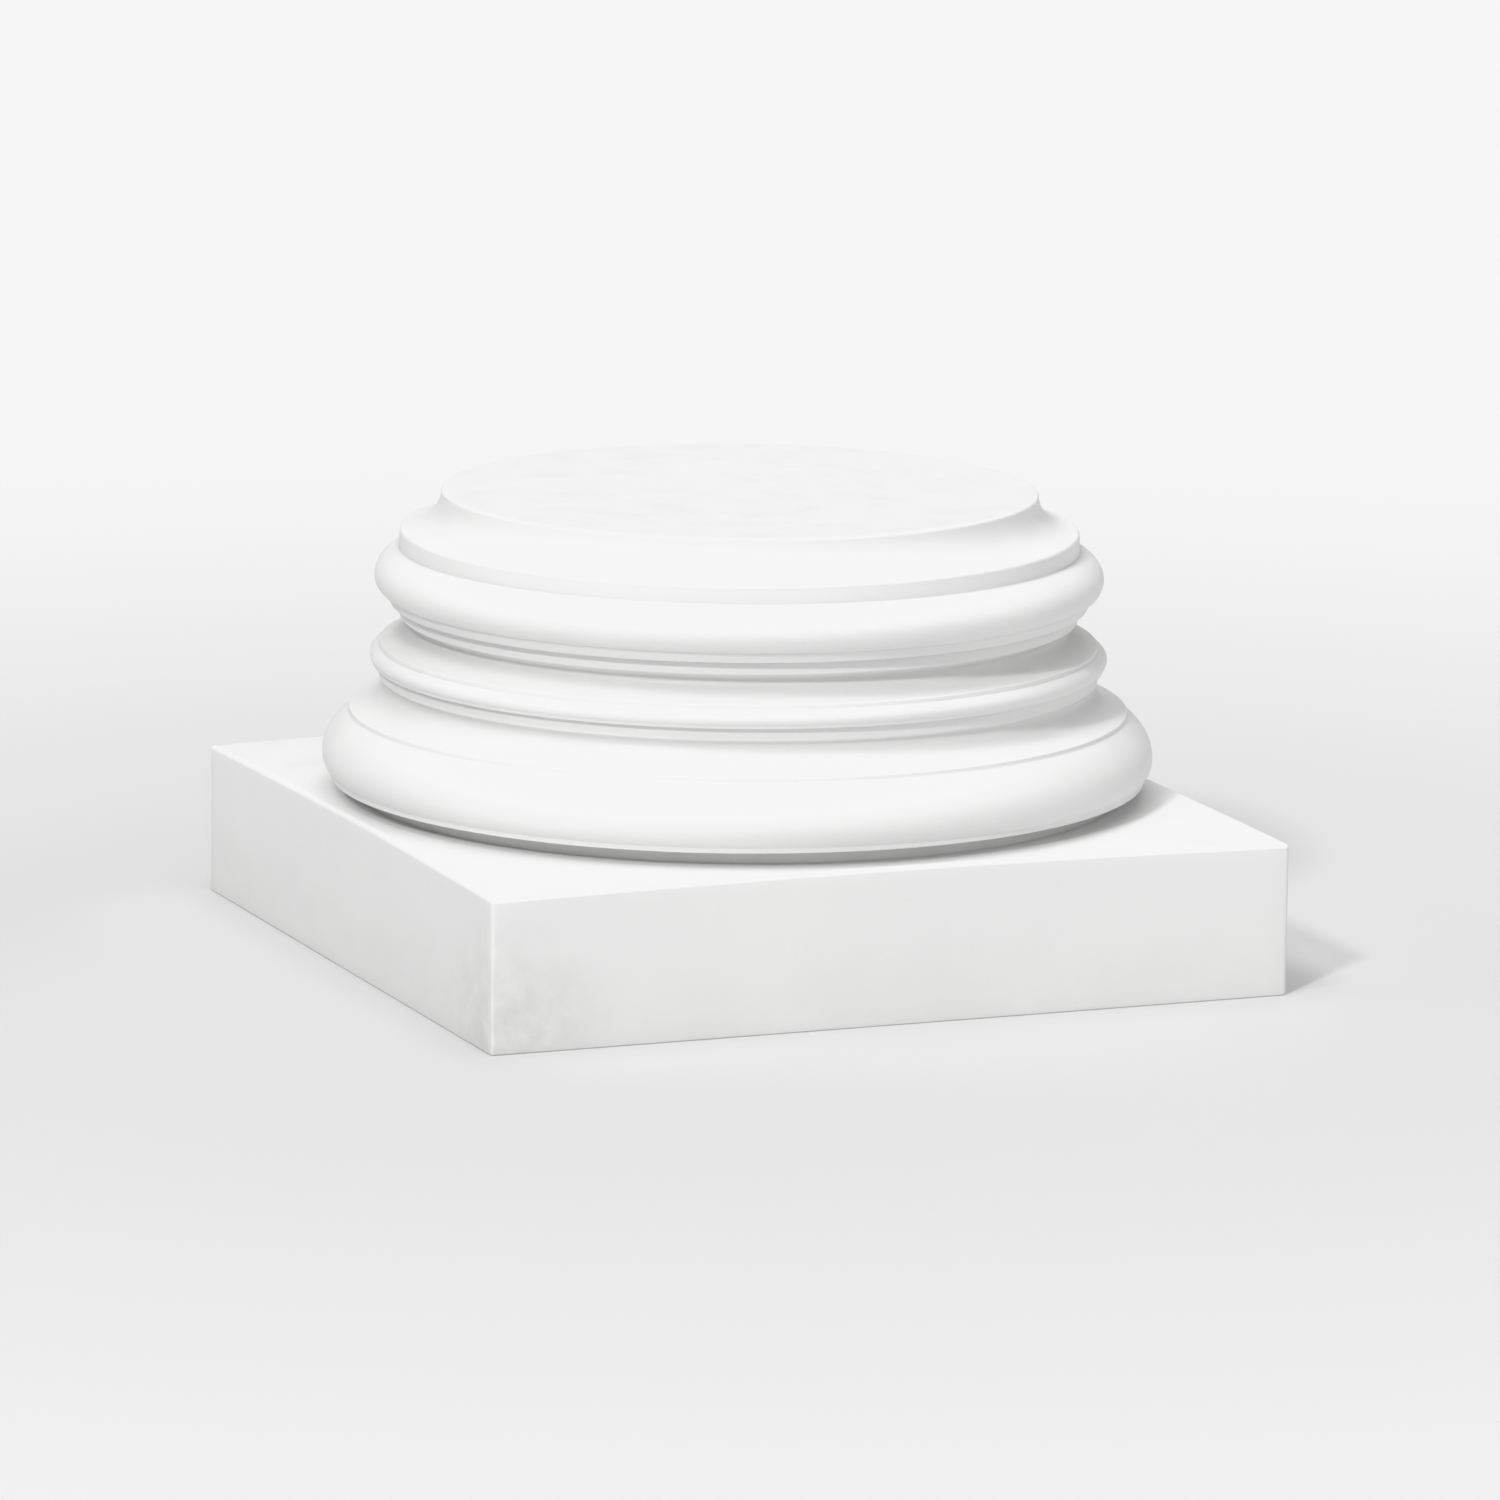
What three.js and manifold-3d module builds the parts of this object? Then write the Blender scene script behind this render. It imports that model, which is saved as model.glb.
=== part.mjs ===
// Column base: a square plinth carrying a turned base of two tori, two scoops and a bead.
// Millimetres, +Z up. The origin is the centre of the underside, so the base stands on Z = 0.
// It is cast in one piece, so it is one solid. Sizes run from the top face down, as the
// mouldings are read: a height is vertical and every other size is measured outwards.

import * as THREE from 'three';
import { mergeVertices } from 'three/addons/utils/BufferGeometryUtils.js';
import Module from 'manifold-3d';

// Seat for the shaft, and the hollow that spreads from it to the band
const seatRadius = 118.2;
const seatArris = 1.2;
const hollowHeight = 14;
const hollowReach = 14.7;
const hollowEndAngle = 84;

// Upright band above the upper torus
const bandArris = 1.5;
const bandHeight = 6.1;

// Upper torus, with the small lip that closes it below
const upperTorusSwell = 9.85;
const upperShoulderHeight = 11.1;
const upperShoulderAngle = 51;
const upperUnderHeight = 6.9;
const upperUnderReturn = 4.2;
const upperUnderAngle = 74;
const upperLipSetback = 0.6;
const upperLipTaper = 1.6;
const upperLipHeight = 4.3;

// Upper scoop, which starts under a fillet and flares out to the bead
const upperFilletSetback = 3.6;
const upperFilletHeight = 5.2;
const upperScoopUndercut = 4.6;
const upperScoopRoof = 3;
const upperScoopHeight = 6.9;
const upperScoopReach = 12.5;
const upperScoopAngle = 75;

// Bead between the scoops
const beadFilletHeight = 2;
const beadSwell = 3.9;
const beadShoulderHeight = 3.6;
const beadShoulderAngle = 85;
const beadUnderHeight = 2.2;
const beadUnderReturn = 0.7;
const beadUnderAngle = 60;
const beadLipSetback = 0.4;
const beadLipHeight = 1.4;

// Lower scoop
const lowerFilletSetback = 2.5;
const lowerFilletHeight = 5;
const lowerScoopUndercut = 2;
const lowerScoopRoof = 1.8;
const lowerScoopHeight = 10.2;
const lowerScoopReach = 13.8;
const lowerScoopAngle = 70;

// Lower torus, with its lip and the neck that lifts it off the plinth
const lowerEdgeHeight = 1.8;
const lowerTorusSwell = 10.4;
const lowerShoulderHeight = 16.6;
const lowerShoulderAngle = 45;
const lowerUnderHeight = 7.2;
const lowerUnderReturn = 2.8;
const lowerUnderAngle = 62;
const lowerLipSetback = 0.3;
const lowerLipHeight = 2.4;
const neckSetback = 10;
const neckHeight = 7.8;

// Plinth: its height is taken at the corners, and its top rises by the crown at the centre
const plinthHeight = 60;
const plinthMargin = 0.4;
const plinthArris = 2;
const plinthCrown = 3.5;

// The undercut of each scoop starts at this angle from its deepest line
const roofAngle = 60;

// Fineness of the facets
const roundSides = 64;
const cornerSteps = 3;
const sideSteps = 8;
const crownRings = 5;

const primedWhite = new THREE.MeshStandardMaterial({
  color: new THREE.Color(0.86, 0.86, 0.855),
  roughness: 0.55,
  metalness: 0,
});

// The turned outline, drawn as a path that starts at the centre of the top face.
// x is the radius and y the height, counted from the top face until the end.
const outline = [new THREE.Vector2(0, 0)];

function lineTo(reach, drop) {
  const last = outline.at(-1);
  outline.push(new THREE.Vector2(last.x + reach, last.y - drop));
}

// A stretch of an ellipse that moves the path out by reach and down by drop.
// The angles are counted from its upright point, negative above it and positive below.
function curveTo(reach, drop, startDegrees, endDegrees, steps) {
  const start = THREE.MathUtils.degToRad(startDegrees);
  const end = THREE.MathUtils.degToRad(endDegrees);
  const across = reach / (Math.cos(end) - Math.cos(start));
  const down = drop / (Math.sin(end) - Math.sin(start));
  const from = outline.at(-1).clone();
  for (let step = 1; step <= steps; step += 1) {
    const angle = start + ((end - start) * step) / steps;
    const x = from.x + across * (Math.cos(angle) - Math.cos(start));
    const y = from.y - down * (Math.sin(angle) - Math.sin(start));
    outline.push(new THREE.Vector2(x, y));
  }
}

function drawSeatAndBand() {
  lineTo(seatRadius - seatArris, 0);
  curveTo(seatArris, seatArris, -90, 0, 2);
  curveTo(hollowReach, hollowHeight, 0, hollowEndAngle, 6);
  curveTo(bandArris, bandArris, -90, 0, 2);
  lineTo(0, bandHeight);
}

function drawUpperTorus() {
  curveTo(upperTorusSwell, upperShoulderHeight, -upperShoulderAngle, 0, 4);
  curveTo(-upperUnderReturn, upperUnderHeight, 0, upperUnderAngle, 4);
  lineTo(-upperLipSetback, 0);
  lineTo(-upperLipTaper, upperLipHeight);
}

function drawUpperScoop() {
  lineTo(-upperFilletSetback, 0);
  lineTo(0, upperFilletHeight);
  curveTo(-upperScoopUndercut, upperScoopRoof, -roofAngle, 0, 2);
  curveTo(upperScoopReach, upperScoopHeight, 0, upperScoopAngle, 5);
}

function drawBead() {
  lineTo(0, beadFilletHeight);
  curveTo(beadSwell, beadShoulderHeight, -beadShoulderAngle, 0, 3);
  curveTo(-beadUnderReturn, beadUnderHeight, 0, beadUnderAngle, 2);
  lineTo(-beadLipSetback, 0);
  lineTo(0, beadLipHeight);
}

function drawLowerScoop() {
  lineTo(-lowerFilletSetback, 0);
  lineTo(0, lowerFilletHeight);
  curveTo(-lowerScoopUndercut, lowerScoopRoof, -roofAngle, 0, 2);
  curveTo(lowerScoopReach, lowerScoopHeight, 0, lowerScoopAngle, 5);
}

// Returns the radius where the torus is widest, which the plinth follows.
function drawLowerTorus() {
  lineTo(0, lowerEdgeHeight);
  curveTo(lowerTorusSwell, lowerShoulderHeight, -lowerShoulderAngle, 0, 5);
  const widest = outline.at(-1).x;
  curveTo(-lowerUnderReturn, lowerUnderHeight, 0, lowerUnderAngle, 4);
  lineTo(-lowerLipSetback, 0);
  lineTo(0, lowerLipHeight);
  lineTo(-neckSetback, 0);
  lineTo(0, neckHeight);
  return widest;
}

drawSeatAndBand();
drawUpperTorus();
drawUpperScoop();
drawBead();
drawLowerScoop();
const widestRadius = drawLowerTorus();

// The neck now ends at the level of the plinth's corners. It is rooted half-way into the
// plinth, and the whole path is lifted so that this level is the plinth's height.
const turnedHeight = -outline.at(-1).y;
lineTo(0, plinthHeight / 2);
outline.push(new THREE.Vector2(0, outline.at(-1).y));
const lift = plinthHeight + turnedHeight;
const turnedOutline = outline.map((point) => new THREE.Vector2(point.x, point.y + lift)).reverse();
const turnedGeometry = new THREE.LatheGeometry(turnedOutline, roundSides).rotateX(Math.PI / 2);

// The plinth is a stack of rounded square rings: up the sides, over the soft arris, and
// in across the crowned top to its centre.
const plinthHalf = widestRadius + plinthMargin;

function crownedTop(x, y) {
  const share = (x * x + y * y) / (2 * plinthHalf * plinthHalf);
  return plinthHeight + plinthCrown * (1 - share);
}

// One ring, seen from above: a quarter turn at each corner, then the points along a side.
function squareRing(half, cornerRadius) {
  const ring = [];
  const reach = half - cornerRadius;
  for (let corner = 0; corner < 4; corner += 1) {
    const turn = (corner * Math.PI) / 2;
    const pivot = new THREE.Vector2(reach, reach).rotateAround(new THREE.Vector2(), turn);
    for (let step = 0; step <= cornerSteps; step += 1) {
      const angle = turn + (step / cornerSteps) * (Math.PI / 2);
      const spoke = new THREE.Vector2(cornerRadius, 0).rotateAround(new THREE.Vector2(), angle);
      ring.push(pivot.clone().add(spoke));
    }
    const sideStart = ring.at(-1);
    const sideEnd = new THREE.Vector2(-reach, half).rotateAround(new THREE.Vector2(), turn);
    for (let step = 1; step < sideSteps; step += 1) {
      ring.push(sideStart.clone().lerp(sideEnd, step / sideSteps));
    }
  }
  return ring;
}

function plinthRings() {
  const foot = squareRing(plinthHalf, plinthArris);
  const rings = [foot.map((point) => [point.x, point.y, 0])];
  for (let step = 0; step <= cornerSteps; step += 1) {
    const angle = (step / cornerSteps) * (Math.PI / 2);
    const inset = plinthArris * (1 - Math.cos(angle));
    const drop = plinthArris * (1 - Math.sin(angle));
    const ring = squareRing(plinthHalf - inset, plinthArris - inset);
    rings.push(ring.map((point) => [point.x, point.y, crownedTop(point.x, point.y) - drop]));
  }
  const edge = rings.at(-1);
  for (let step = 1; step < crownRings; step += 1) {
    const share = 1 - step / crownRings;
    rings.push(edge.map(([x, y]) => [x * share, y * share, crownedTop(x * share, y * share)]));
  }
  return rings;
}

function ringsToGeometry(rings, bottomCentre, topCentre) {
  const count = rings[0].length;
  const positions = [...rings.flat(), bottomCentre, topCentre].flat();
  const bottom = rings.length * count;
  const top = bottom + 1;
  const lastRow = (rings.length - 1) * count;
  const index = [];
  for (let column = 0; column < count; column += 1) {
    const next = (column + 1) % count;
    index.push(bottom, next, column);
    index.push(lastRow + column, lastRow + next, top);
    for (let row = 0; row < lastRow; row += count) {
      index.push(row + column, row + next, row + count + next);
      index.push(row + column, row + count + next, row + count + column);
    }
  }
  const geometry = new THREE.BufferGeometry();
  geometry.setAttribute('position', new THREE.Float32BufferAttribute(positions, 3));
  geometry.setIndex(index);
  return geometry;
}

const plinthGeometry = ringsToGeometry(plinthRings(), [0, 0, 0], [0, 0, crownedTop(0, 0)]);

// Both bodies become closed solids, which are joined into the single casting.
const wasm = await Module();
wasm.setup();

function toSolid(geometry) {
  geometry.deleteAttribute('normal');
  geometry.deleteAttribute('uv');
  const merged = mergeVertices(geometry);
  const index = merged.getIndex().array;
  const triangles = [];
  for (let first = 0; first < index.length; first += 3) {
    const [a, b, c] = index.slice(first, first + 3);
    if (a !== b && b !== c && c !== a) {
      triangles.push(a, b, c);
    }
  }
  const vertProperties = new Float32Array(merged.getAttribute('position').array);
  const triVerts = new Uint32Array(triangles);
  return new wasm.Manifold(new wasm.Mesh({ numProp: 3, vertProperties, triVerts }));
}

const casting = toSolid(plinthGeometry).add(toSolid(turnedGeometry)).getMesh();
const castingGeometry = new THREE.BufferGeometry();
castingGeometry.setAttribute('position', new THREE.BufferAttribute(casting.vertProperties, 3));
castingGeometry.setIndex(new THREE.BufferAttribute(casting.triVerts, 1));
castingGeometry.computeVertexNormals();

const columnBase = new THREE.Mesh(castingGeometry, primedWhite);
columnBase.name = 'column_base';

const model = new THREE.Group();
model.add(columnBase);

export default model;
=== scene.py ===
# Column base, cast in one piece and primed white: a square plinth under a turned base.
# The casting is drawn in millimetres and degrees, and its mesh is made in metres. Sizes of
# the finish, the floor, the lights and the camera's place are in metres and degrees.

import math

import bpy
import numpy as np
from mathutils import Matrix, Vector, noise


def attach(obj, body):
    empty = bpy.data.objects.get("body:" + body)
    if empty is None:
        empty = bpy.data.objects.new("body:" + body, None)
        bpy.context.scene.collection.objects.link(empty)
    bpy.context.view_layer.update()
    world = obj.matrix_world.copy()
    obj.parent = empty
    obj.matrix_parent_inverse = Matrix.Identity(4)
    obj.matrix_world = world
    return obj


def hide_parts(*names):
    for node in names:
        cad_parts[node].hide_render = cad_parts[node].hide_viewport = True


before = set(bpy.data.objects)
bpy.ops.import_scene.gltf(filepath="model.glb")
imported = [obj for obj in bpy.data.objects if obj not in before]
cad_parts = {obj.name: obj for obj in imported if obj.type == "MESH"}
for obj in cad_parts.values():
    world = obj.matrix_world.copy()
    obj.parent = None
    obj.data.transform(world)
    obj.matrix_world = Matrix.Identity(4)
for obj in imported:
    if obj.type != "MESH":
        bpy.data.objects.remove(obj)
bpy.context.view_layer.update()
mm = 0.001
print("column base: the packed frame is loaded")


# Drawing the turned outline. It starts at the centre of the seat and runs down to the plinth:
# reach moves it outwards and drop moves it down.

curves = {
    "fewestSteps": 12,
    "stepLength": 0.25,
}


def goStraight(path, reach, drop):
    radius, height = path[-1]
    path.append((radius + reach, height - drop))


# A stretch of an ellipse. Its angles are counted from its upright point, negative above it.
def goRound(path, reach, drop, start, end):
    radius, height = path[-1]
    start, end = math.radians(start), math.radians(end)
    across = reach / (math.cos(end) - math.cos(start))
    down = drop / (math.sin(end) - math.sin(start))
    steps = max(curves["fewestSteps"], int(math.hypot(reach, drop) / curves["stepLength"]))
    for step in range(1, steps + 1):
        angle = start + (end - start) * step / steps
        path.append((
            radius + across * (math.cos(angle) - math.cos(start)),
            height - down * (math.sin(angle) - math.sin(start)),
        ))


seatAndBand = {
    "seatRadius": 118.2,
    "seatArris": 1.2,
    "hollowHeight": 14.0,
    "hollowReach": 14.7,
    "hollowEnd": 84,
    "bandArris": 1.5,
    "bandHeight": 6.1,
}


def drawSeatAndBand(path):
    size = seatAndBand
    goStraight(path, size["seatRadius"] - size["seatArris"], 0)
    goRound(path, size["seatArris"], size["seatArris"], -90, 0)
    goRound(path, size["hollowReach"], size["hollowHeight"], 0, size["hollowEnd"])
    goRound(path, size["bandArris"], size["bandArris"], -90, 0)
    goStraight(path, 0, size["bandHeight"])


upperTorus = {
    "swell": 9.85,
    "shoulderHeight": 11.1,
    "shoulderStart": -51,
    "underHeight": 6.9,
    "underReturn": 4.2,
    "underEnd": 74,
    "lipSetback": 0.6,
    "lipTaper": 1.6,
    "lipHeight": 4.3,
}

lowerTorus = {
    "swell": 10.4,
    "shoulderHeight": 16.6,
    "shoulderStart": -45,
    "underHeight": 7.2,
    "underReturn": 2.8,
    "underEnd": 62,
    "lipSetback": 0.3,
    "lipTaper": 0.0,
    "lipHeight": 2.4,
}

bead = {
    "swell": 3.9,
    "shoulderHeight": 3.6,
    "shoulderStart": -85,
    "underHeight": 2.2,
    "underReturn": 0.7,
    "underEnd": 60,
    "lipSetback": 0.4,
    "lipTaper": 0.0,
    "lipHeight": 1.4,
}


# The tori and the bead are drawn alike: a shoulder, the return below it, and a small lip.
def drawSwelling(path, size):
    goRound(path, size["swell"], size["shoulderHeight"], size["shoulderStart"], 0)
    goRound(path, -size["underReturn"], size["underHeight"], 0, size["underEnd"])
    goStraight(path, -size["lipSetback"], 0)
    goStraight(path, -size["lipTaper"], size["lipHeight"])


upperScoop = {
    "filletSetback": 3.6,
    "filletHeight": 5.2,
    "undercut": 4.6,
    "roof": 3.0,
    "roofStart": -60,
    "height": 6.9,
    "reach": 12.5,
    "end": 75,
    "edgeHeight": 2.0,
}

lowerScoop = {
    "filletSetback": 2.5,
    "filletHeight": 5.0,
    "undercut": 2.0,
    "roof": 1.8,
    "roofStart": -60,
    "height": 10.2,
    "reach": 13.8,
    "end": 70,
    "edgeHeight": 1.8,
}


# A fillet, the scoop under it, and the small upright edge that the scoop flares out to.
def drawScoop(path, size):
    goStraight(path, -size["filletSetback"], 0)
    goStraight(path, 0, size["filletHeight"])
    goRound(path, -size["undercut"], size["roof"], size["roofStart"], 0)
    goRound(path, size["reach"], size["height"], 0, size["end"])
    goStraight(path, 0, size["edgeHeight"])


plinth = {
    "height": 60.0,  # at the corners
    "margin": 0.4,  # beyond the widest line of the lower torus
    "crown": 3.5,  # rise of the top at its centre
    "arris": 2.0,
    "footArris": 0.7,
    "neckSetback": 10.0,
    "neckHeight": 7.8,
    "turnedRim": 4.5,  # width of the plinth's top that is still turned
    "rimSteps": 10,
    "arrisMark": 0.5,  # how far its top arrises stand out, as the painted highlight reads it
    "cornerMark": 0.35,
}


def crownedTop(x, y):
    share = (x * x + y * y) / (2 * plinth["half"] ** 2)
    return plinth["height"] + plinth["crown"] * (1 - share)


def drawOutline():
    path = [(0.0, 0.0)]
    drawSeatAndBand(path)
    drawSwelling(path, upperTorus)
    drawScoop(path, upperScoop)
    drawSwelling(path, bead)
    drawScoop(path, lowerScoop)
    drawSwelling(path, lowerTorus)
    goStraight(path, -plinth["neckSetback"], 0)
    widest = max(radius for radius, height in path)
    neckRadius, lipHeight = path[-1]
    lift = plinth["height"] + plinth["neckHeight"] - lipHeight
    plinth["half"] = widest + plinth["margin"]
    path = [(radius, height + lift) for radius, height in path]
    for step in range(plinth["rimSteps"] + 1):
        radius = neckRadius + plinth["turnedRim"] * step / plinth["rimSteps"]
        path.append((radius, crownedTop(radius, 0)))
    return path


softening = {
    "spread": 0.42,  # how far the primer rounds every sharp line
    "sample": 0.08,  # between two points of the softened outline
    "tail": 3,  # spreads on each side that still count
    "recessSpread": 3.2,  # how far apart faces may be and still take painted shade between them
    "creaseSpread": 1.0,
    "mostTurn": 5.0,  # degrees between two rings of the mesh
    "mostStep": 5.0,  # millimetres between them
}


# The outline at even steps, with every line rounded over the given spread.
def softenedOutline(path, spread):
    points = np.array(path)
    lengths = np.hypot(*np.diff(points, axis=0).T)
    along = np.concatenate([[0], np.cumsum(lengths)])
    even = np.linspace(0, along[-1], int(along[-1] / softening["sample"]))
    columns = [np.interp(even, along, points[:, axis]) for axis in (0, 1)]
    taps = int(softening["tail"] * spread / softening["sample"])
    offsets = np.arange(-taps, taps + 1) * softening["sample"]
    weights = np.exp(-0.5 * (offsets / spread) ** 2)
    weights /= weights.sum()
    soft = []
    for column in columns:
        ends = 2 * column[0] - column[taps:0:-1], 2 * column[-1] - column[-2:-taps - 2:-1]
        soft.append(np.convolve(np.concatenate([ends[0], column, ends[1]]), weights, "valid"))
    return list(zip(*soft))


# Keeps a point wherever the outline has turned or run far enough since the last one.
def pointsToKeep(path):
    kept = [0]
    turned = 0.0
    heading = None
    for index in range(1, len(path) - 1):
        here, after = path[index], path[index + 1]
        angle = math.atan2(after[1] - here[1], after[0] - here[0])
        if heading is not None:
            turned += abs(math.remainder(angle - heading, 2 * math.pi))
        heading = angle
        run = math.dist(here, path[kept[-1]])
        if turned >= math.radians(softening["mostTurn"]) or run >= softening["mostStep"]:
            kept.append(index)
            turned = 0.0
    kept.append(len(path) - 1)
    return kept


# How far each point of the outline lies inside a softer outline, which is less than nothing
# on an arris.
def depthsInside(path, softer):
    points, shell = np.array(path), np.array(softer)
    along = np.gradient(points, axis=0)
    along /= np.hypot(*along.T)[:, None]
    gap = shell - points
    return gap[:, 1] * along[:, 0] - gap[:, 0] * along[:, 1]


meshing = {
    "sideSteps": 54,
    "cornerSteps": 4,
    "topRings": 14,
    "arrisRings": 7,
    "sideRings": 12,
    "footArrisRings": 4,
    "footRings": 8,
    "sharpRadius": 0.001,  # of a corner that is drawn sharp
}


# A square with rounded corners, as one point for each column of the mesh.
def squareRing(half, cornerRadius):
    reach = half - cornerRadius
    sideEnd = math.atan2(reach, half)
    side = [(half, half * math.tan(sideEnd * (2 * step / meshing["sideSteps"] - 1)))
            for step in range(meshing["sideSteps"])]
    corner = []
    for step in range(meshing["cornerSteps"]):
        angle = (step / meshing["cornerSteps"]) * math.pi / 2
        across, along = cornerRadius * math.cos(angle), cornerRadius * math.sin(angle)
        corner.append((reach + across, reach + along))
    ring = []
    for cosine, sine in ((1, 0), (0, 1), (-1, 0), (0, -1)):
        ring += [(x * cosine - y * sine, x * sine + y * cosine) for x, y in side + corner]
    return ring


# The outline turned about the upright axis, with a ring for each of its points.
def turnedRings(outline, angles):
    rings = []
    for radius, height in outline:
        rings.append([(radius * math.cos(a), radius * math.sin(a), height) for a in angles])
    return rings


# The rest of the plinth's top, where the rings pass from round to square.
def topRings(rim):
    edge = squareRing(plinth["half"] - plinth["arris"], meshing["sharpRadius"])
    rings = []
    for step in range(1, meshing["topRings"]):
        share = step / meshing["topRings"]
        ring = []
        for inner, outer in zip(rim, edge):
            x = inner[0] + (outer[0] - inner[0]) * share
            y = inner[1] + (outer[1] - inner[1]) * share
            ring.append((x, y, crownedTop(x, y)))
        rings.append(ring)
    return rings


# Over the soft arris round the plinth's top.
def arrisRings():
    arris = plinth["arris"]
    rings = []
    for step in range(meshing["arrisRings"] + 1):
        angle = math.radians(90 * (1 - step / meshing["arrisRings"]))
        inset = arris * (1 - math.cos(angle))
        drop = arris * (1 - math.sin(angle))
        ring = squareRing(plinth["half"] - inset, max(arris - inset, meshing["sharpRadius"]))
        rings.append([(x, y, crownedTop(x, y) - drop) for x, y in ring])
    return rings


# Down the sides, round the small arris of the foot, and in under the base.
def sideRings(brow):
    foot = plinth["footArris"]
    rings = []
    for step in range(1, meshing["sideRings"] + 1):
        share = step / meshing["sideRings"]
        rings.append([(x, y, z + (foot - z) * share) for x, y, z in brow])
    for step in range(1, meshing["footArrisRings"] + 1):
        angle = math.radians(90 * step / meshing["footArrisRings"])
        inset = foot * (1 - math.cos(angle))
        ring = squareRing(plinth["half"] - inset, plinth["arris"] - inset)
        rings.append([(x, y, foot * (1 - math.sin(angle))) for x, y in ring])
    last = rings[-1]
    for step in range(1, meshing["footRings"]):
        share = 1 - step / meshing["footRings"]
        rings.append([(x * share, y * share, 0.0) for x, y, z in last])
    return rings


# What the primer reads from the mesh, in millimetres, for its painted shade and painted highlight:
# how deep a place lies in a recess or in a crease, and how far it stands out on an arris.
def castingMarks(path, outline, kept, ringCount, columnCount):
    recess = depthsInside(outline, softenedOutline(path, softening["recessSpread"]))[kept, None]
    crease = depthsInside(outline, softenedOutline(path, softening["creaseSpread"]))[kept, None]
    marks = {name: np.zeros((ringCount, columnCount)) for name in ("recess", "crease", "arris")}
    turned = len(kept)
    marks["recess"][:turned] = np.maximum(0, recess)
    marks["crease"][:turned] = np.maximum(0, crease)
    marks["arris"][:turned] = np.maximum(0, -crease)
    top = turned + meshing["topRings"] - 1
    side = top + meshing["arrisRings"]
    foot = side + 1 + meshing["sideRings"] + meshing["footArrisRings"] // 2
    corner = meshing["sideSteps"] + meshing["cornerSteps"] // 2
    # Painted highlight along the plinth's top arrises and its upright corners
    marks["arris"][top + 1:side] = plinth["arrisMark"]
    marks["arris"][side:foot, corner::columnCount // 4] = plinth["cornerMark"]
    return marks


def castingRings():
    path = drawOutline()
    outline = softenedOutline(path, softening["spread"])
    kept = pointsToKeep(outline)[1:]
    angles = [math.atan2(y, x) for x, y in squareRing(plinth["half"], plinth["arris"])]
    rings = turnedRings([outline[index] for index in kept], angles)
    rings += topRings(rings[-1])
    rings += arrisRings()
    rings += sideRings(rings[-1])
    marks = castingMarks(path, outline, kept, len(rings), len(angles))
    return rings, marks, outline[0][1]


unevenness = {
    "depth": 0.16,  # how far the casting may fall short of its true faces
    "wave": 46.0,
    "fineDepth": 0.05,
    "fineWave": 13.0,
    "fineShift": (7.1, 3.3, 5.9),
    "fade": 6.0,  # it dies away over this height above the foot, which stays flat
}


# A casting is never quite true, so its faces stand back from the ideal by a little.
def settleFaces(mesh):
    size = unevenness
    normals = [vertex.normal.copy() for vertex in mesh.vertices]
    for vertex, normal in zip(mesh.vertices, normals):
        place = vertex.co / mm
        fade = min(1, place.z / size["fade"])
        wave = 0.5 + 0.5 * noise.noise(place / size["wave"])
        fine = 0.5 + 0.5 * noise.noise(place / size["fineWave"] + Vector(size["fineShift"]))
        vertex.co -= normal * fade * (wave * size["depth"] + fine * size["fineDepth"]) * mm


def buildCasting():
    rings, marks, seatHeight = castingRings()
    count = len(rings[0])
    points = [(0.0, 0.0, seatHeight), *sum(rings, []), (0.0, 0.0, 0.0)]
    last = 1 + (len(rings) - 1) * count
    faces = []
    for column in range(count):
        after = (column + 1) % count
        faces.append((0, 1 + column, 1 + after))
        for row in range(len(rings) - 1):
            above, below = 1 + row * count, 1 + (row + 1) * count
            faces.append((above + column, below + column, below + after, above + after))
        faces.append((last + column, len(points) - 1, last + after))
    mesh = bpy.data.meshes.new("columnBaseCasting")
    mesh.from_pydata([(x * mm, y * mm, z * mm) for x, y, z in points], [], faces)
    mesh.update()
    mesh.polygons.foreach_set("use_smooth", [True] * len(mesh.polygons))
    settleFaces(mesh)
    mesh.update()
    for name, values in marks.items():
        mark = mesh.attributes.new(name, "FLOAT", "POINT")
        mark.data.foreach_set("value", [0.0, *values.ravel(), 0.0])
    casting = bpy.data.objects.new("columnBaseCasting", mesh)
    bpy.context.scene.collection.objects.link(casting)
    return casting


casting = buildCasting()
print("column base: casting meshed,", len(casting.data.polygons), "faces")


# Materials

def newMaterial(name):
    material = bpy.data.materials.new(name)
    material.use_nodes = True
    nodes = material.node_tree.nodes
    return material, nodes, material.node_tree.links, nodes["Principled BSDF"]


# Fits a value between two limits to a share between two others.
def addRange(nodes, links, value, limits, shares):
    fit = nodes.new("ShaderNodeMapRange")
    fit.inputs["From Min"].default_value, fit.inputs["From Max"].default_value = limits
    fit.inputs["To Min"].default_value, fit.inputs["To Max"].default_value = shares
    links.new(value, fit.inputs["Value"])
    return fit.outputs["Result"]


# Noise in the casting's own space, by one of the patterns in the dictionaries below.
def addPattern(nodes, links, place, pattern):
    texture = nodes.new("ShaderNodeTexNoise")
    texture.inputs["Scale"].default_value = pattern["scale"]
    texture.inputs["Detail"].default_value = pattern["detail"]
    texture.inputs["Roughness"].default_value = pattern["rough"]
    links.new(place.outputs["Object"], texture.inputs["Vector"])
    if "limits" not in pattern:
        return texture.outputs["Fac"]
    return addRange(nodes, links, texture.outputs["Fac"], pattern["limits"], pattern["shares"])


# How far a place is from a point, in metres.
def addDistance(nodes, links, place, point):
    reach = nodes.new("ShaderNodeVectorMath")
    reach.operation = "DISTANCE"
    reach.inputs[1].default_value = point
    links.new(place.outputs["Object"], reach.inputs[0])
    return reach.outputs["Value"]


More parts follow.
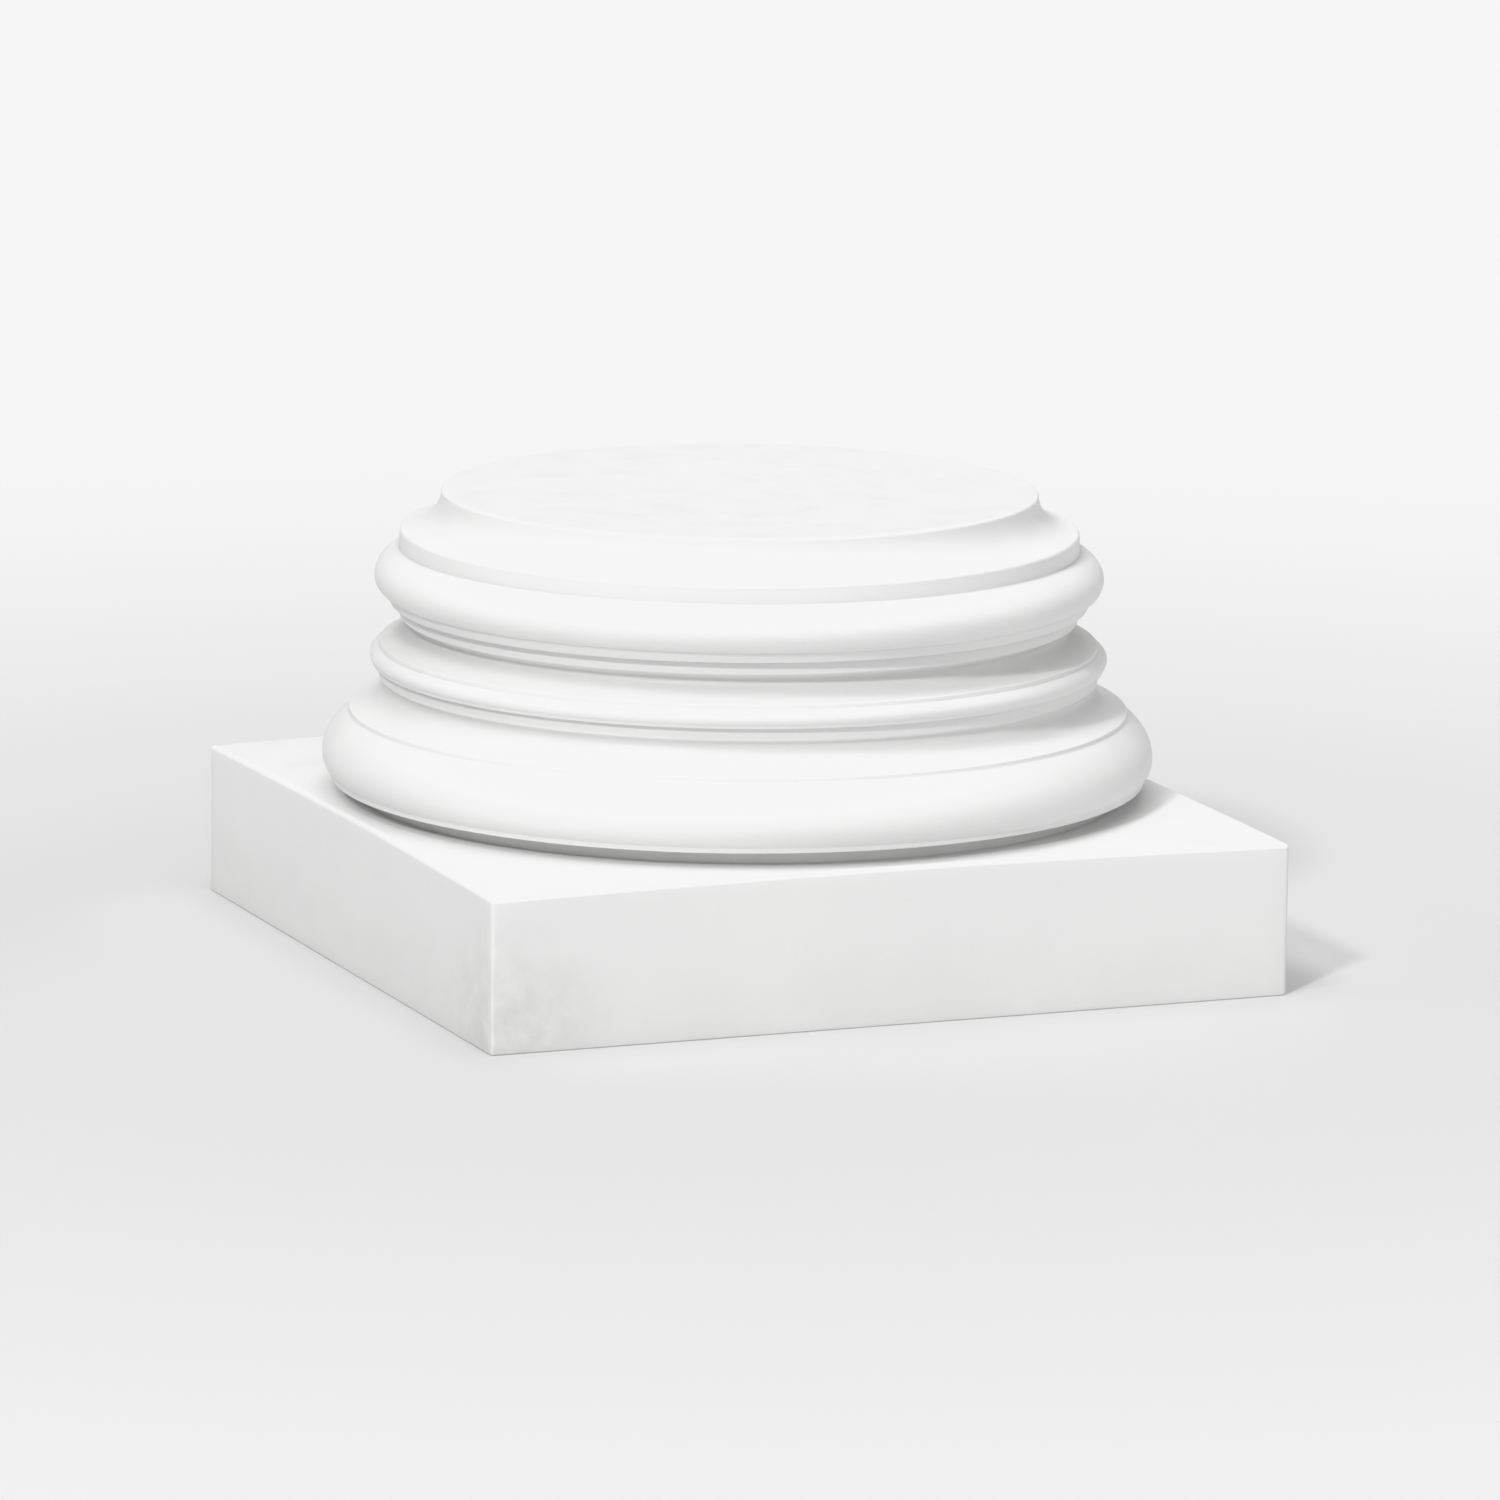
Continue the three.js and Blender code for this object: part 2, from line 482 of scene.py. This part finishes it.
def addMix(nodes, links, factor, first, second):
    mix = nodes.new("ShaderNodeMix")
    mix.data_type = "RGBA"
    links.new(factor, mix.inputs["Factor"])
    for socket, value in (("A", first), ("B", second)):
        entry = next(s for s in mix.inputs if s.name == socket and s.type == "RGBA")
        if isinstance(value, tuple):
            entry.default_value = (*value, 1)
        else:
            links.new(value, entry)
    return next(s for s in mix.outputs if s.type == "RGBA")


def addProduct(nodes, links, first, second):
    product = nodes.new("ShaderNodeMath")
    product.operation = "MULTIPLY"
    links.new(first, product.inputs[0])
    links.new(second, product.inputs[1])
    return product.outputs["Value"]


def addBump(nodes, links, height, distance, strength, under=None):
    bump = nodes.new("ShaderNodeBump")
    bump.inputs["Distance"].default_value = distance
    bump.inputs["Strength"].default_value = strength
    links.new(height, bump.inputs["Height"])
    if under is not None:
        links.new(under, bump.inputs["Normal"])
    return bump.outputs["Normal"]


primer = {
    "colour": (0.805, 0.805, 0.80),
    "cloudColour": (0.775, 0.776, 0.773),  # a slightly thinner coat, in soft clouds
    "clouds": {"scale": 11, "detail": 5, "rough": 0.55, "limits": (0.35, 0.7), "shares": (0, 1)},
    "speckColour": (0.72, 0.72, 0.71),
    "specks": {"scale": 420, "detail": 2, "rough": 0.5, "limits": (0.66, 0.8), "shares": (0, 0.35)},
    # Painted shade: the casting darker towards its foot, in noisy patches
    "footShadeColour": (0.69, 0.69, 0.68),
    "footShadeHeight": (0.001, 0.04),  # above the floor, from full to none
    "footShadeShare": 0.5,
    "footShade": {"scale": 26, "detail": 6, "rough": 0.6, "limits": (0.3, 0.7), "shares": (0.5, 1.3)},
    "cornerPatchColour": (0.60, 0.60, 0.59),  # darker patchy marks at one corner of the foot
    "cornerPatchPlace": (-0.165, -0.165, 0.0),
    "cornerPatchReach": (0.005, 0.055),  # from that corner, from full to none
    "cornerPatchShare": 0.85,
    "cornerPatches": {
        "scale": 90, "detail": 5, "rough": 0.65, "limits": (0.38, 0.62), "shares": (0.25, 1),
    },
    # Each mark on the mesh: where it starts and where it is full, in millimetres, then its
    # share and its colour
    "marks": (
        ("arris", (0.1, 0.4), 0.7, (0.85, 0.85, 0.845)),  # painted highlight: brighter along the arrises
        ("recess", (0.35, 1.5), 0.36, (0.50, 0.50, 0.49)),  # painted shade, thin, in the recesses
        ("crease", (0.12, 0.42), 0.52, (0.42, 0.42, 0.41)),  # painted shade in the sharp creases
    ),
    "gloss": {"scale": 60, "detail": 4, "rough": 0.5, "limits": (0.3, 0.7), "shares": (0.42, 0.56)},
    "swirl": {"scale": 90, "detail": 3, "rough": 0.5},
    "swirlDepth": 0.00012,
    "swirlStrength": 0.5,
    "peel": {"scale": 900, "detail": 3, "rough": 0.5},
    "peelDepth": 0.00005,
    "peelStrength": 0.6,
    "specular": 0.4,
}


def primedWhite():
    material, nodes, links, shader = newMaterial("primedWhite")
    place = nodes.new("ShaderNodeTexCoord")
    clouds = addPattern(nodes, links, place, primer["clouds"])
    colour = addMix(nodes, links, clouds, primer["colour"], primer["cloudColour"])
    specks = addPattern(nodes, links, place, primer["specks"])
    colour = addMix(nodes, links, specks, colour, primer["speckColour"])

    # Painted shade near the foot, fading out with height
    split = nodes.new("ShaderNodeSeparateXYZ")
    links.new(place.outputs["Object"], split.inputs["Vector"])
    height = split.outputs["Z"]
    low = addRange(nodes, links, height, primer["footShadeHeight"], (primer["footShadeShare"], 0))
    footShade = addProduct(nodes, links, low, addPattern(nodes, links, place, primer["footShade"]))
    colour = addMix(nodes, links, footShade, colour, primer["footShadeColour"])

    reach = addDistance(nodes, links, place, primer["cornerPatchPlace"])
    near = addRange(nodes, links, reach, primer["cornerPatchReach"], (primer["cornerPatchShare"], 0))
    cornerPatches = addProduct(nodes, links, near, addPattern(nodes, links, place, primer["cornerPatches"]))
    colour = addMix(nodes, links, cornerPatches, colour, primer["cornerPatchColour"])

    # Painted shade in the recesses and creases, and a painted highlight on the arrises
    for mark, limits, share, tone in primer["marks"]:
        depth = nodes.new("ShaderNodeAttribute")
        depth.attribute_name = mark
        marked = addRange(nodes, links, depth.outputs["Fac"], limits, (0, share))
        colour = addMix(nodes, links, marked, colour, tone)
    links.new(colour, shader.inputs["Base Color"])

    links.new(addPattern(nodes, links, place, primer["gloss"]), shader.inputs["Roughness"])
    swirl = addPattern(nodes, links, place, primer["swirl"])
    peel = addPattern(nodes, links, place, primer["peel"])
    skin = addBump(nodes, links, swirl, primer["swirlDepth"], primer["swirlStrength"])
    skin = addBump(nodes, links, peel, primer["peelDepth"], primer["peelStrength"], skin)
    links.new(skin, shader.inputs["Normal"])
    shader.inputs["Specular IOR Level"].default_value = primer["specular"]
    return material


bareCasting = {
    "colour": (0.74, 0.70, 0.60),
    "cloudColour": (0.66, 0.61, 0.51),
    "clouds": {"scale": 25, "detail": 5, "rough": 0.5, "limits": (0.3, 0.7), "shares": (0, 1)},
    "poreColour": (0.45, 0.41, 0.33),
    "poreScale": 300,
    "poreEdge": (0.12, 0.2),
    "poreShare": 0.8,
    "poreSlope": (0.08, 0.25),
    "poreDepth": 0.0004,
    "poreStrength": 0.8,
    "roughness": 0.78,
    "highest": 0.05,  # millimetres above the floor
}


# The underside is left as it came out of the mould: cream foam with small open pores.
def bareFoam():
    material, nodes, links, shader = newMaterial("bareFoam")
    place = nodes.new("ShaderNodeTexCoord")
    clouds = addPattern(nodes, links, place, bareCasting["clouds"])
    colour = addMix(nodes, links, clouds, bareCasting["colour"], bareCasting["cloudColour"])
    pores = nodes.new("ShaderNodeTexVoronoi")
    pores.inputs["Scale"].default_value = bareCasting["poreScale"]
    links.new(place.outputs["Object"], pores.inputs["Vector"])
    reach = pores.outputs["Distance"]
    dark = addRange(nodes, links, reach, bareCasting["poreEdge"], (bareCasting["poreShare"], 0))
    colour = addMix(nodes, links, dark, colour, bareCasting["poreColour"])
    links.new(colour, shader.inputs["Base Color"])
    shader.inputs["Roughness"].default_value = bareCasting["roughness"]
    height = addRange(nodes, links, reach, bareCasting["poreSlope"], (0, 1))
    pitted = addBump(nodes, links, height, bareCasting["poreDepth"], bareCasting["poreStrength"])
    links.new(pitted, shader.inputs["Normal"])
    return material


casting.data.materials.append(primedWhite())
casting.data.materials.append(bareFoam())
for face in casting.data.polygons:
    if face.center.z < bareCasting["highest"] * mm:
        face.material_index = 1

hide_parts("column_base")
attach(casting, "root")
print("column base: primer and bare underside are on")


# Studio: a pale floor with a painted shadow round the base, soft lights and the camera

paleFloor = {
    "half": 60.0,
    # Darker near the base: a painted shadow round it
    "colour": (0.60, 0.60, 0.60),
    "farColour": (0.76, 0.76, 0.76),
    "paling": (0.3, 1.3),  # from the painted shadow near the base to the far colour between these distances
    "roughness": 0.9,
    "specular": 0.1,
}


def layFloor():
    half = paleFloor["half"]
    mesh = bpy.data.meshes.new("studioFloor")
    corners = [(-half, -half, 0), (half, -half, 0), (half, half, 0), (-half, half, 0)]
    mesh.from_pydata(corners, [], [(0, 1, 2, 3)])
    floor = bpy.data.objects.new("studioFloor", mesh)
    bpy.context.scene.collection.objects.link(floor)
    material, nodes, links, shader = newMaterial("paleFloor")
    place = nodes.new("ShaderNodeTexCoord")
    # Painted shadow: the floor darker near the base
    reach = addDistance(nodes, links, place, (0, 0, 0))
    share = addRange(nodes, links, reach, paleFloor["paling"], (0, 1))
    colour = addMix(nodes, links, share, paleFloor["colour"], paleFloor["farColour"])
    links.new(colour, shader.inputs["Base Color"])
    shader.inputs["Roughness"].default_value = paleFloor["roughness"]
    shader.inputs["Specular IOR Level"].default_value = paleFloor["specular"]
    mesh.materials.append(material)
    return floor


layFloor()

# The soft lights hang round the base: the azimuth runs from the front towards the right, and
# the width is how wide a light looks from the base.
lights = {
    "key": {"azimuth": -48, "elevation": 36, "width": 6, "strength": 1.42},
    "keySoft": {"azimuth": -60, "elevation": 60, "width": 16, "strength": 0.92},
    "top": {"azimuth": 0, "elevation": 88, "width": 60, "strength": 1.55},
    "frontLow": {"azimuth": 0, "elevation": 15, "width": 40, "strength": 0.42},
    "front": {"azimuth": 0, "elevation": 45, "width": 40, "strength": 0.10},
    "right": {"azimuth": 60, "elevation": 30, "width": 40, "strength": 0.50},
    "leftBack": {"azimuth": -120, "elevation": 45, "width": 40, "strength": 0.26},
    "back": {"azimuth": 150, "elevation": 45, "width": 40, "strength": 0.40},
}

lampDistance = 3


def towards(azimuth, elevation):
    turn, lift = math.radians(azimuth), math.radians(elevation)
    level = math.cos(lift)
    return Vector((math.sin(turn) * level, -math.cos(turn) * level, math.sin(lift)))


def hangLights():
    for name, light in lights.items():
        data = bpy.data.lights.new(name, "SUN")
        data.angle = math.radians(light["width"])
        data.energy = light["strength"]
        lamp = bpy.data.objects.new(name, data)
        back = towards(light["azimuth"], light["elevation"])
        lamp.location = back * lampDistance
        lamp.rotation_euler = back.to_track_quat("Z", "Y").to_euler()
        bpy.context.scene.collection.objects.link(lamp)


highlights = {
    "curve": ((0.0, 0.0), (0.8, 0.795), (0.93, 0.905), (1.1, 0.94), (2.0, 0.95)),
    "channel": 3,  # the one that holds all three colours
}


# The brightest faces level off just below white, as they do in the photograph.
def levelHighlights():
    settings = bpy.context.scene.view_settings
    settings.view_transform = "Standard"
    settings.use_curve_mapping = True
    mapping = settings.curve_mapping
    mapping.use_clip = False
    points = mapping.curves[highlights["channel"]].points
    curve = highlights["curve"]
    points[0].location, points[1].location = curve[0], curve[-1]
    for place in curve[1:-1]:
        points.new(*place)
    mapping.update()


hangLights()

viewpoint = {
    "aim": (0.00585, 0.00108, 0.07683),
    "azimuth": -22.015,
    "elevation": 10.759,
    "roll": 0.614,
    "distance": 3.7461,
    "lens": 226.42,  # millimetres, as the sensor is
    "sensor": 36,
    "clip": (0.05, 200),
}


def placeCamera():
    data = bpy.data.cameras.new("camera")
    data.lens = viewpoint["lens"]
    data.sensor_width = viewpoint["sensor"]
    data.clip_start, data.clip_end = viewpoint["clip"]
    camera = bpy.data.objects.new("camera", data)
    azimuth = math.radians(viewpoint["azimuth"])
    back = towards(viewpoint["azimuth"], viewpoint["elevation"])
    right = Vector((math.cos(azimuth), math.sin(azimuth), 0))
    up = back.cross(right)
    axes = Matrix((right, up, back)).transposed()
    turn = Matrix.Rotation(math.radians(viewpoint["roll"]), 3, "Z")
    pose = (axes @ turn).to_4x4()
    pose.translation = Vector(viewpoint["aim"]) + back * viewpoint["distance"]
    camera.matrix_world = pose
    bpy.context.scene.collection.objects.link(camera)
    bpy.context.scene.camera = camera


placeCamera()
levelHighlights()
print("column base: studio and camera are set")
